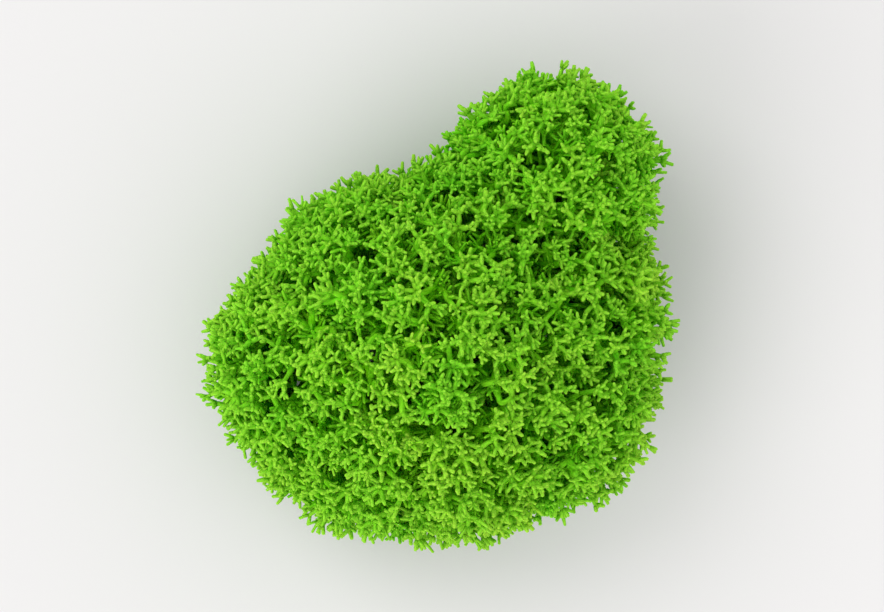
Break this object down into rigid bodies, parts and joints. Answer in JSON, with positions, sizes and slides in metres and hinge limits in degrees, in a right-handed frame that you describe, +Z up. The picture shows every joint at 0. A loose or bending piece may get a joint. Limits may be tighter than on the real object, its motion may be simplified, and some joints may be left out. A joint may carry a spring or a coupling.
{
  "type": "reindeer moss clump",
  "caption": "Cushion-shaped clump of bright green reindeer moss, its rounded heads of fine forked twigs on short stalks, cut flat underneath to rest on a surface.",
  "frame": {"origin": "under the middle of the clump's box, on the plane of its cut, which is the surface that it rests on", "axes": "+Z up out of the cut, +Y towards the smaller head that stands apart at the back right, +X to the right as seen from the front"},
  "size_m": [0.0516, 0.0515, 0.0372],
  "materials": {
    "lichen": "matte"
  },
  "bodies": {
    "root": {"head_crown": "lichen", "head_left": "lichen", "head_front_left": "lichen", "head_front": "lichen", "head_front_right": "lichen", "head_right": "lichen", "head_back_right": "lichen", "head_back": "lichen", "head_back_left": "lichen"}
  },
  "joints": []
}
